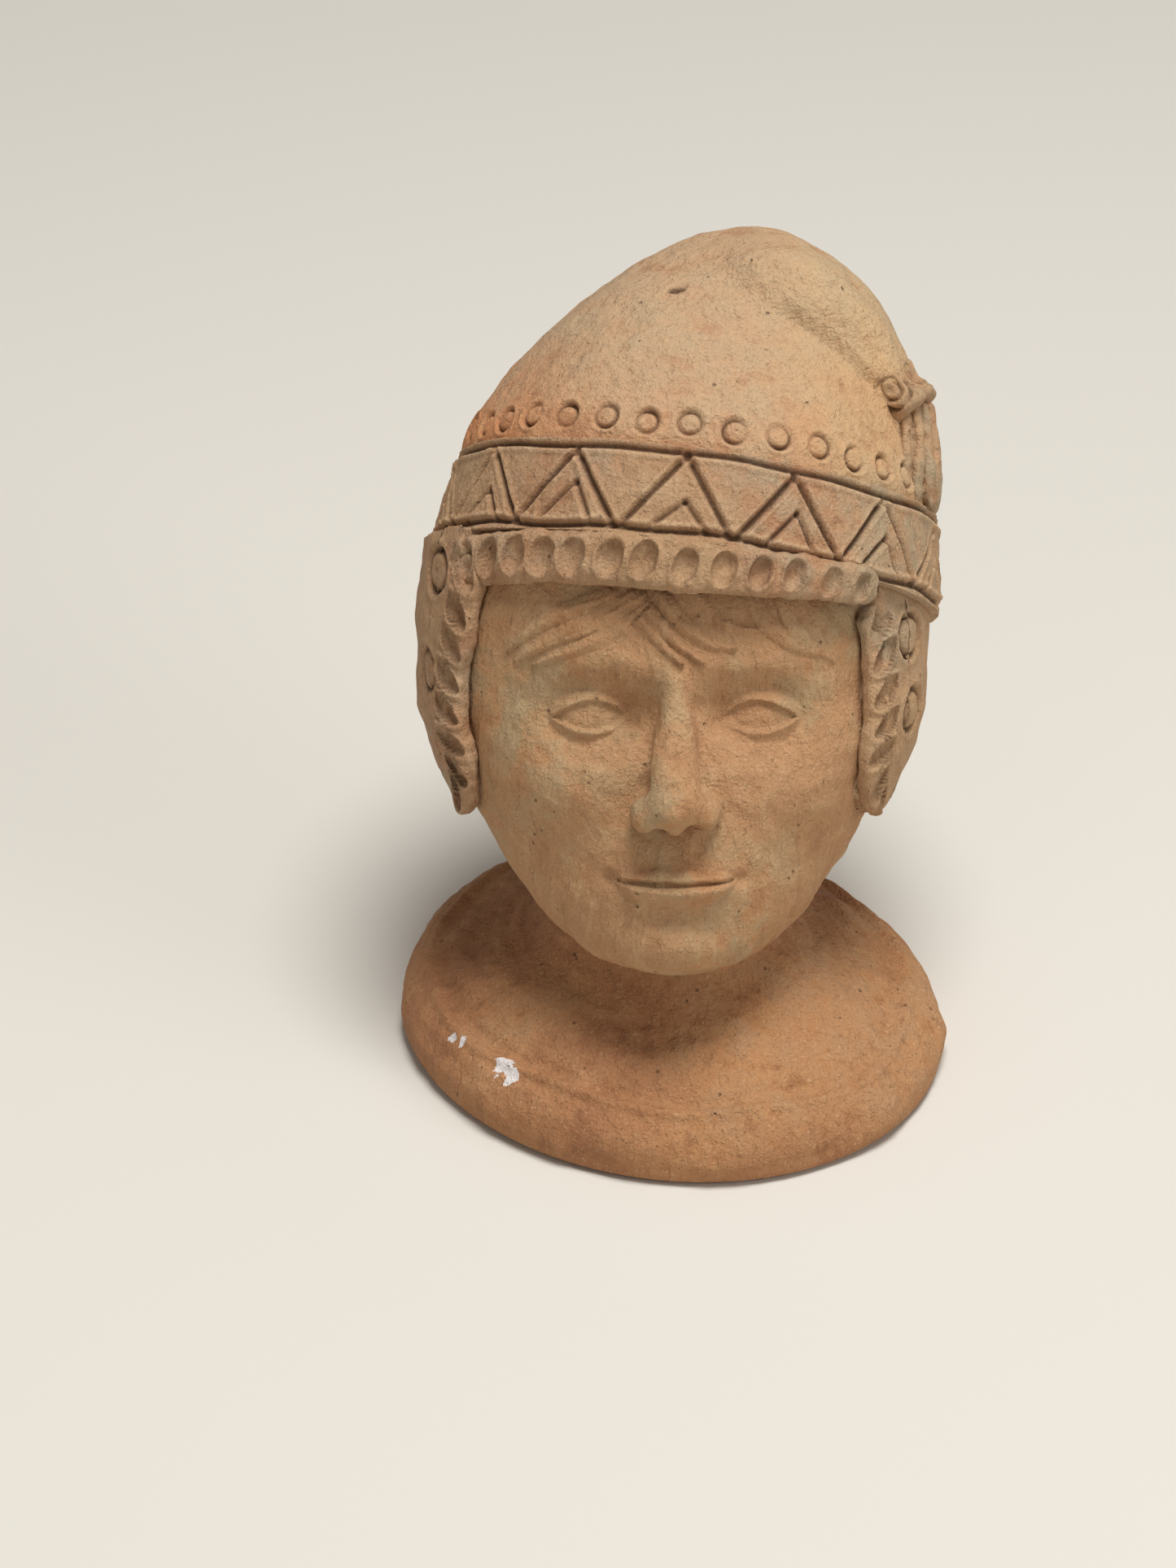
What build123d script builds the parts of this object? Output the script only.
from build123d import *
from math import sqrt
import os

# A small hollow terracotta bust in an ear-flap cap, put together from pieces of soft clay.
# Millimetres, +Z up, the face looks along -Y, +X is the wearer's left side.

# ---- Foot and bell -------------------------------------------------------------------------
foot_half_length = 33.2
foot_half_width = 29.5
foot_turn = -57.8          # direction of the foot's long axis in plan, degrees from +X
rim_height = 5.5           # the coil that the bust stands on
rim_inset = 1.6            # the coil's top edge steps in by this
rim_wall = 6.0
rim_levels = [(0.0, 0.9), (0.3, 0.0), (0.7, 0.2)]   # share of the rim's height, step in from its widest
bell_height = 12.5         # top of the flared bell, where the neck starts
bell_wall = 4.0
shoulder_share = 0.70      # bell size half-way up, as a share of the foot

# ---- Neck ----------------------------------------------------------------------------------
neck_half_width = 14.0     # at the bell
neck_half_depth = 12.5
neck_top_radius = 11.5     # hidden inside the head
neck_back = 2.0            # the neck leans back by this on its way up
neck_bore_radius = 7.0
neck_fillet = 1.5          # the bell meets the neck this much wider
bore_lead = (2.0, 1.0)     # the bell's hollow ends this much wider than the bore
neck_waist_rise = 8.0      # height of the neck's middle section above the bell
neck_length = 22.0         # top of the neck above the chin's height, inside the head

# ---- Head ----------------------------------------------------------------------------------
head_tilt = 24.0           # the face looks up by this much
head_forward = 3.3         # head frame origin, in front of the foot's centre
head_lift = 11.9           # head frame origin, above the ground
head_wall = 4.0
# height above the chin, centre depth, half width, half depth
head_sections = [
    (0.3, -14.0, 4.0, 5.0),
    (1.8, -12.6, 9.0, 10.0),
    (4.6, -9.2, 13.2, 14.4),
    (10.0, -5.0, 18.2, 19.0),
    (18.0, -1.5, 22.6, 22.3),
    (28.0, 0.0, 25.2, 23.8),
    (38.0, 0.3, 25.3, 24.0),
    (47.0, 0.5, 24.2, 23.3),
    (55.0, 1.5, 22.0, 21.5),
    (62.0, 3.0, 19.0, 19.0),
]
hollow_start = 3           # the hollow begins at this section; the chin below it is solid

# ---- Face, on plain classical proportions --------------------------------------------------
eye_line = 28.5
eye_half_spacing = 8.8
eye_radius = 5.8
eye_depth = 17.6           # eyeball centre, in front of the head's axis
lid_thickness = 0.9
upper_lid_angle = 15.0     # half openings of the lids, degrees
lower_lid_angle = 13.0
nose_top = 34.0
nose_base = 17.0
nose_half_width = 4.5
nose_projection = 7.0
mouth_line = 11.3
mouth_half_width = 6.8
lip_projection = 1.9
lip_root = 1.5             # how deep the lips start in the head
upper_lip_height = 2.4
lower_lip_height = 3.3
nose_root = 0.6            # how deep the nose starts in the head

# ---- Cap -----------------------------------------------------------------------------------
cap_lean = 13.5            # the cap sits tipped back on the head
cap_roll = 8.0             # and lower on the wearer's left
cap_centre = (1.5, 1.0, 41.8)   # centre of the band's lower edge, in the head frame
cap_band_height = 9.9
band_bottom_radius = 28.2
band_top_radius = 26.9
brim_height = 5.7           # the pressed coil hangs below the band
brim_radius = 28.6
brim_edge = 1.6
crown_wall = 4.5
crown_base_inner = 19.0    # the crown's foot is wide enough to stand on band and head
# height above the band, sideways shift, radius
crown_sections = [
    (0.0, 0.0, 26.9),
    (3.3, 0.0, 26.0),
    (6.2, 0.0, 24.7),
    (10.7, 0.0, 22.4),
    (15.4, 0.2, 19.4),
    (20.2, 0.5, 15.6),
    (23.8, 0.8, 11.2),
    (27.2, 1.0, 6.6),
    (29.6, 1.0, 2.4),
]
vent_place = (-5.3, -15.2, 19.3)  # pin hole through the crown, from the band's top
vent_direction = (-0.25, -0.70, 0.66)
vent_length = 2.0
vent_width = 0.9

# ---- Ear flaps -----------------------------------------------------------------------------
flap_thickness = 3.3       # over the head at ear height
flap_tip = 17.0            # height of the flap's lowest point above the chin
flap_top = 56.0            # hidden behind the band
flap_front = -16.0         # front edge at the band
flap_cheek = -15.5         # front edge at eye level
flap_toe = -14.5           # front edge at the tip
flap_toe_length = 10.5     # along the lower edge
flap_waist = 5.0           # rear edge at eye level
flap_rear = 14.0           # rear edge at the band
right_flap_back = 2.8      # the wearer's right flap sits this much further back
border_width = 3.8
border_raise = 0.9

# ---- Tail, collar and tassel, in the cap frame -----------------------------------------------
# centre, half thickness, half width
tail_path = [
    ((-3.0, 0.0, 32.0), 4.8, 6.5),
    ((3.0, -0.5, 33.6), 6.5, 9.5),
    ((8.5, -1.5, 32.2), 6.3, 12.0),
    ((12.8, -3.2, 29.4), 5.4, 12.0),
    ((15.9, -5.4, 26.8), 4.4, 9.6),
    ((18.6, -7.6, 24.1), 3.5, 7.0),
]
collar_length = 4.6
collar_half_thickness = 3.5
collar_half_width = 6.6
tassel_foot = (23.4, -7.0, 10.4)
tassel_half_thickness = 3.3
tassel_half_width = 4.9

# ---- Hair ----------------------------------------------------------------------------------
# x and height of the two ends of each lock, and its half thickness
# place along the half length, share of the half thickness
lock_shape = [(-1.0, 0.3), (-0.6, 0.8), (0.0, 1.0), (0.6, 0.75), (1.0, 0.2)]
left_locks = [
    ((-4.6, 39.6), (-11.5, 37.6), 1.1),
    ((-7.6, 37.2), (-15.2, 34.4), 1.1),
    ((-11.4, 40.4), (-15.4, 37.8), 0.9),
]
centre_locks = [
    ((-4.4, 40.2), (-0.4, 35.2), 1.1),
    ((-1.6, 39.8), (2.4, 35.0), 1.1),
    ((1.2, 39.8), (5.6, 36.4), 1.0),
]
right_locks = [
    ((7.6, 38.6), (13.2, 36.6), 1.0),
    ((9.8, 35.8), (15.2, 33.2), 1.0),
]

# The head and all that is laid on it are shaped upright in the head's own frame, then set on the neck.
on_neck = Pos(0, -head_forward, head_lift) * Rot(-head_tilt, 0, 0)
cap_place = Pos(*cap_centre) * Rot(-cap_lean, 0, 0) * Rot(0, cap_roll, 0)
foot_place = Rot(0, 0, foot_turn)
far = 200.0                # larger than the object, for cutting blocks


def ellipse_stack(place, sections):
    """Solid through flat ellipses: height, centre depth, half width and half depth of each."""
    return loft([place * Pos(0, y, z) * Ellipse(a, b) for z, y, a, b in sections])


def ellipsoid(place, half_sizes):
    return place * scale(Sphere(1), by=half_sizes)


def block_above(place):
    """Everything above the plane z = 0 of this frame."""
    return place * Pos(0, 0, far / 2) * Box(far, far, far)


def head_half_sizes(height):
    """Centre depth, half width and half depth of the head at a height above the chin."""
    for low, high in zip(head_sections, head_sections[1:]):
        if height <= high[0]:
            t = (height - low[0]) / (high[0] - low[0])
            return [p + t * (q - p) for p, q in zip(low[1:], high[1:])]


def face_depth(x, height):
    """Depth of the head's front surface at x and a height above the chin."""
    y, a, b = head_half_sizes(height)
    return y - b * sqrt(1 - (x / a) ** 2)


# ---- Head and the surfaces that the rest is laid on ------------------------------------------
head_outer = ellipse_stack(Location(), head_sections)
head_on_neck = on_neck * head_outer
above_band = block_above(cap_place * Pos(0, 0, cap_band_height))
under_band = block_above(cap_place)
above_brim = block_above(cap_place * Pos(0, 0, -brim_height))
hollow_sections = [(z, y, a - head_wall, b - head_wall) for z, y, a, b in head_sections[hollow_start:]]
head_hollow = ellipse_stack(Location(), hollow_sections)
bore_top = head_lift + head_sections[hollow_start + 1][0]
neck_bore = Cylinder(neck_bore_radius, bore_top, align=(Align.CENTER, Align.CENTER, Align.MIN))
head_shell = head_outer - head_hollow - on_neck.inverse() * neck_bore - above_band

# ---- Foot rim, bell and neck -----------------------------------------------------------------
long_half = foot_half_length
short_half = foot_half_width
rim_steps = rim_levels + [(1.0, rim_inset)]
rim_sections = [(share * rim_height, 0, long_half - step, short_half - step) for share, step in rim_steps]
rim_outer = ellipse_stack(foot_place, rim_sections)
rim_hole = ellipse_stack(foot_place, [(z, 0, long_half - rim_wall, short_half - rim_wall) for z in (0, rim_height)])
foot_rim = rim_outer - rim_hole

bell_middle = (rim_height + bell_height) / 2
bell_levels = [
    (rim_height, long_half - rim_inset, short_half - rim_inset),
    (bell_middle, long_half * shoulder_share, short_half * shoulder_share),
    (bell_height, neck_half_width + neck_fillet, neck_half_depth + neck_fillet),
]
bell_outer = ellipse_stack(foot_place, [(z, 0, a, b) for z, a, b in bell_levels])
roof = bell_height - bell_wall
bell_inside = [
    (rim_height, long_half - rim_wall, short_half - rim_wall),
    (roof, neck_bore_radius + bore_lead[0], neck_bore_radius + bore_lead[1]),
]
bell_hollow = loft([foot_place * Pos(0, 0, z) * Ellipse(a, b) for z, a, b in bell_inside], ruled=True)
bust_base = bell_outer - bell_hollow - neck_bore - head_on_neck

neck_levels = [
    (bell_height, 0, neck_half_width, neck_half_depth),
    (bell_height + neck_waist_rise, neck_back / 2, neck_half_depth, neck_top_radius),
    (head_lift + neck_length, neck_back, neck_top_radius, neck_top_radius - 1.0),
]
neck = ellipse_stack(Location(), neck_levels) - neck_bore - head_on_neck

# ---- Cap band and crown ------------------------------------------------------------------------
band_levels = [(0, 0, band_bottom_radius, band_bottom_radius), (cap_band_height, 0, band_top_radius, band_top_radius)]
cap_band = ellipse_stack(cap_place, band_levels) - head_outer

crown_place = cap_place * Pos(0, 0, cap_band_height)


def crown_solid(sections):
    return loft([crown_place * Pos(x, 0, z) * Circle(radius) for z, x, radius in sections])


crown_filled = crown_solid(crown_sections)
crown_top = crown_sections[-1][0]
hollow_ratio = crown_base_inner / crown_sections[0][2]
hollow_rise = (crown_top - crown_wall) / crown_top
hollow_levels = [(z * hollow_rise, x, radius * hollow_ratio) for z, x, radius in crown_sections]
vent_plane = Plane(origin=vent_place, z_dir=vent_direction)
vent = crown_place * (vent_plane.location * extrude(SlotOverall(vent_length, vent_width), crown_wall * 2, both=True))
cap_crown = crown_filled - crown_solid(hollow_levels) - vent

# ---- Tail, collar and tassel on the wearer's left ----------------------------------------------
tail_points = [(cap_place * Pos(*centre)).position for centre, thick, wide in tail_path]
cap_side = (cap_place * Pos(0, 1, 0)).position - cap_place.position


def flat_disc(origin, direction, half_thickness, half_width):
    """Ellipse across a direction, its long axis along the side of the cap."""
    plane = Plane(origin=origin, x_dir=cap_side.cross(direction), z_dir=direction)
    return plane * Ellipse(half_thickness, half_width)


def flat_rod(start, end, half_thickness, half_width):
    """Straight rod of flat section between two points."""
    return loft([flat_disc(point, end - start, half_thickness, half_width) for point in (start, end)], ruled=True)


tail_discs = []
for i, (centre, thick, wide) in enumerate(tail_path):
    before = tail_points[max(i - 1, 0)]
    after = tail_points[min(i + 1, len(tail_points) - 1)]
    tail_discs.append(flat_disc(tail_points[i], after - before, thick, wide))
tail_filled = loft(tail_discs)
cap_tail = tail_filled - crown_filled - cap_band

tail_end = tail_points[-1]
tail_direction = (tail_points[-1] - tail_points[-2]).normalized()
collar_end = tail_end + tail_direction * collar_length
collar_filled = flat_rod(tail_end, collar_end, collar_half_thickness, collar_half_width)
tail_collar = collar_filled - crown_filled - cap_band - tail_filled

tassel_start = tail_end + tail_direction * collar_length / 2
tassel_end = (cap_place * Pos(*tassel_foot)).position
tassel_rod = flat_rod(tassel_start, tassel_end, tassel_half_thickness, tassel_half_width)
tassel = tassel_rod - crown_filled - cap_band - collar_filled - tail_filled - head_outer

# ---- Ear flaps and their borders ---------------------------------------------------------------
flap_curve = [(flap_front, flap_top), (flap_cheek, eye_line), (flap_toe, flap_tip + 2.5)]
flap_rear_curve = [(flap_toe + flap_toe_length, flap_tip + 1.5), (flap_waist, eye_line), (flap_rear, flap_top)]


def flap_outline(shift):
    """Side view of a flap, in depth and height, its edge moved back and up by the shift."""
    front = Spline([(y + shift, z + shift) for y, z in flap_curve])
    rear = Spline([(y + shift, z + shift) for y, z in flap_rear_curve])
    tip = ThreePointArc(front @ 1, (flap_toe + flap_toe_length / 2 + shift, flap_tip + shift), rear @ 0)
    return make_face(front + tip + rear + Line(rear @ 1, front @ 0))


def side_prism(face, side):
    """A side-view face carried outwards on one side of the head."""
    prism = extrude(Plane.YZ * face, far / 4)
    return prism if side > 0 else Pos(0, right_flap_back, 0) * mirror(prism, Plane.YZ)


def grown_head(extra):
    growth = [min(1.0, max(0.0, (z - 6.0) / 18.0)) for z, y, a, b in head_sections]
    levels = [(z, y, a + extra * g, b + extra * g) for (z, y, a, b), g in zip(head_sections, growth)]
    return ellipse_stack(Location(), levels)


flap_skin = grown_head(flap_thickness) - head_outer - under_band
border_skin = grown_head(flap_thickness + border_raise) - head_outer - under_band
whole_flap = flap_outline(0)
inner_flap = flap_outline(border_width) & whole_flap
front_border = whole_flap - inner_flap
ear_flaps = {}
for name, side in (("left", 1), ("right", -1)):
    ear_flaps[name + "_ear_flap"] = flap_skin & side_prism(inner_flap, side)
    ear_flaps[name + "_flap_border"] = border_skin & side_prism(front_border, side)

brim = Pos(0, 0, -brim_height / 2) * Cylinder(brim_radius, brim_height)
brim_ring = cap_place * fillet(brim.edges().filter_by(GeomType.CIRCLE).group_by(Axis.Z)[0], brim_edge) - head_outer
brim_arcs = (brim_ring - side_prism(whole_flap, 1) - side_prism(whole_flap, -1)).solids().sort_by(Axis.Y)
brim_strip = brim_arcs[0]
nape_strip = brim_arcs[-1]

# ---- Face --------------------------------------------------------------------------------------
nose_levels = [
    (nose_top, 0.2, 0.36),
    ((nose_top + eye_line) / 2, 0.42, 0.42),
    ((nose_top + 2 * nose_base) / 3, 0.70, 0.72),
    (nose_base + 1.8, 1.00, 1.00),
    (nose_base, 0.86, 0.72),
]
nose_sections = []
for height, width, depth in nose_levels:
    back = face_depth(0, height) + nose_root
    nose_sections.append((height, back, nose_half_width * width, nose_projection * depth + nose_root))
nose = ellipse_stack(Location(), nose_sections) - head_outer

mouth_place = Pos(0, face_depth(0, mouth_line) + lip_root, mouth_line)
lip_depth = lip_projection + lip_root
lip_split = block_above(mouth_place)
upper_lip = ellipsoid(mouth_place, (mouth_half_width, lip_depth * 0.9, upper_lip_height)) & lip_split
lower_lip = ellipsoid(mouth_place, (mouth_half_width * 0.9, lip_depth, lower_lip_height)) - lip_split
upper_lip = upper_lip - head_outer
lower_lip = lower_lip - head_outer

eye_pieces = {}
for name, side in (("left", 1), ("right", -1)):
    socket = Pos(side * eye_half_spacing, -eye_depth, eye_line)
    ball = socket * Sphere(eye_radius)
    lid = socket * Sphere(eye_radius + lid_thickness) - ball - head_outer - nose
    eye_pieces[name + "_eye"] = ball - head_outer
    eye_pieces[name + "_upper_lid"] = lid & block_above(socket * Rot(-upper_lid_angle, 0, 0))
    eye_pieces[name + "_lower_lid"] = lid & block_above(socket * Rot(180 + lower_lid_angle, 0, 0))

# ---- Hair fringe -------------------------------------------------------------------------------


def lock_of_hair(start, end, half_thickness):
    """Spindle of clay lying half sunk in the head's front."""
    ends = [Vector(x, face_depth(x, z), z) for x, z in (start, end)]
    x, z = (start[0] + end[0]) / 2, (start[1] + end[1]) / 2
    middle = Plane(origin=(x, face_depth(x, z), z), z_dir=ends[1] - ends[0]).location
    half_length = (ends[1] - ends[0]).length / 2
    discs = [(along * half_length, share * half_thickness) for along, share in lock_shape]
    return loft([middle * Pos(0, 0, z) * Circle(radius) for z, radius in discs])


def fringe(locks):
    """Locks that lie side by side, each a solid of its own."""
    return Compound([lock_of_hair(*lock) - head_outer - above_brim for lock in locks])


# ---- Every node ----------------------------------------------------------------------------------
on_head = {
    "head_shell": head_shell,
    "nose": nose,
    "upper_lip": upper_lip,
    "lower_lip": lower_lip,
    **eye_pieces,
    "fringe_left": fringe(left_locks),
    "fringe_centre": fringe(centre_locks),
    "fringe_right": fringe(right_locks),
    "cap_crown": cap_crown,
    "cap_band": cap_band,
    "brim_strip": brim_strip,
    "nape_strip": nape_strip,
    **ear_flaps,
    "cap_tail": cap_tail,
    "tail_collar": tail_collar,
    "tassel": tassel,
}
nodes = {"foot_rim": foot_rim, "bust_base": bust_base, "neck": neck}
for node, shape in on_head.items():
    nodes[node] = on_neck * shape

# The origin is the middle of the whole object's box, on the ground.
whole = Compound(children=[Compound(list(shape.solids())) for shape in nodes.values()]).bounding_box()
to_origin = Pos(-whole.center().X, -whole.center().Y, -whole.min.Z)

os.makedirs("parts", exist_ok=True)
for node, shape in nodes.items():
    placed = to_origin * shape
    export_step(placed, f"parts/{node}.step")
    print(node, len(placed.solids()), round(placed.volume, 1))
print("size", whole.size, "foot centre", to_origin.position)
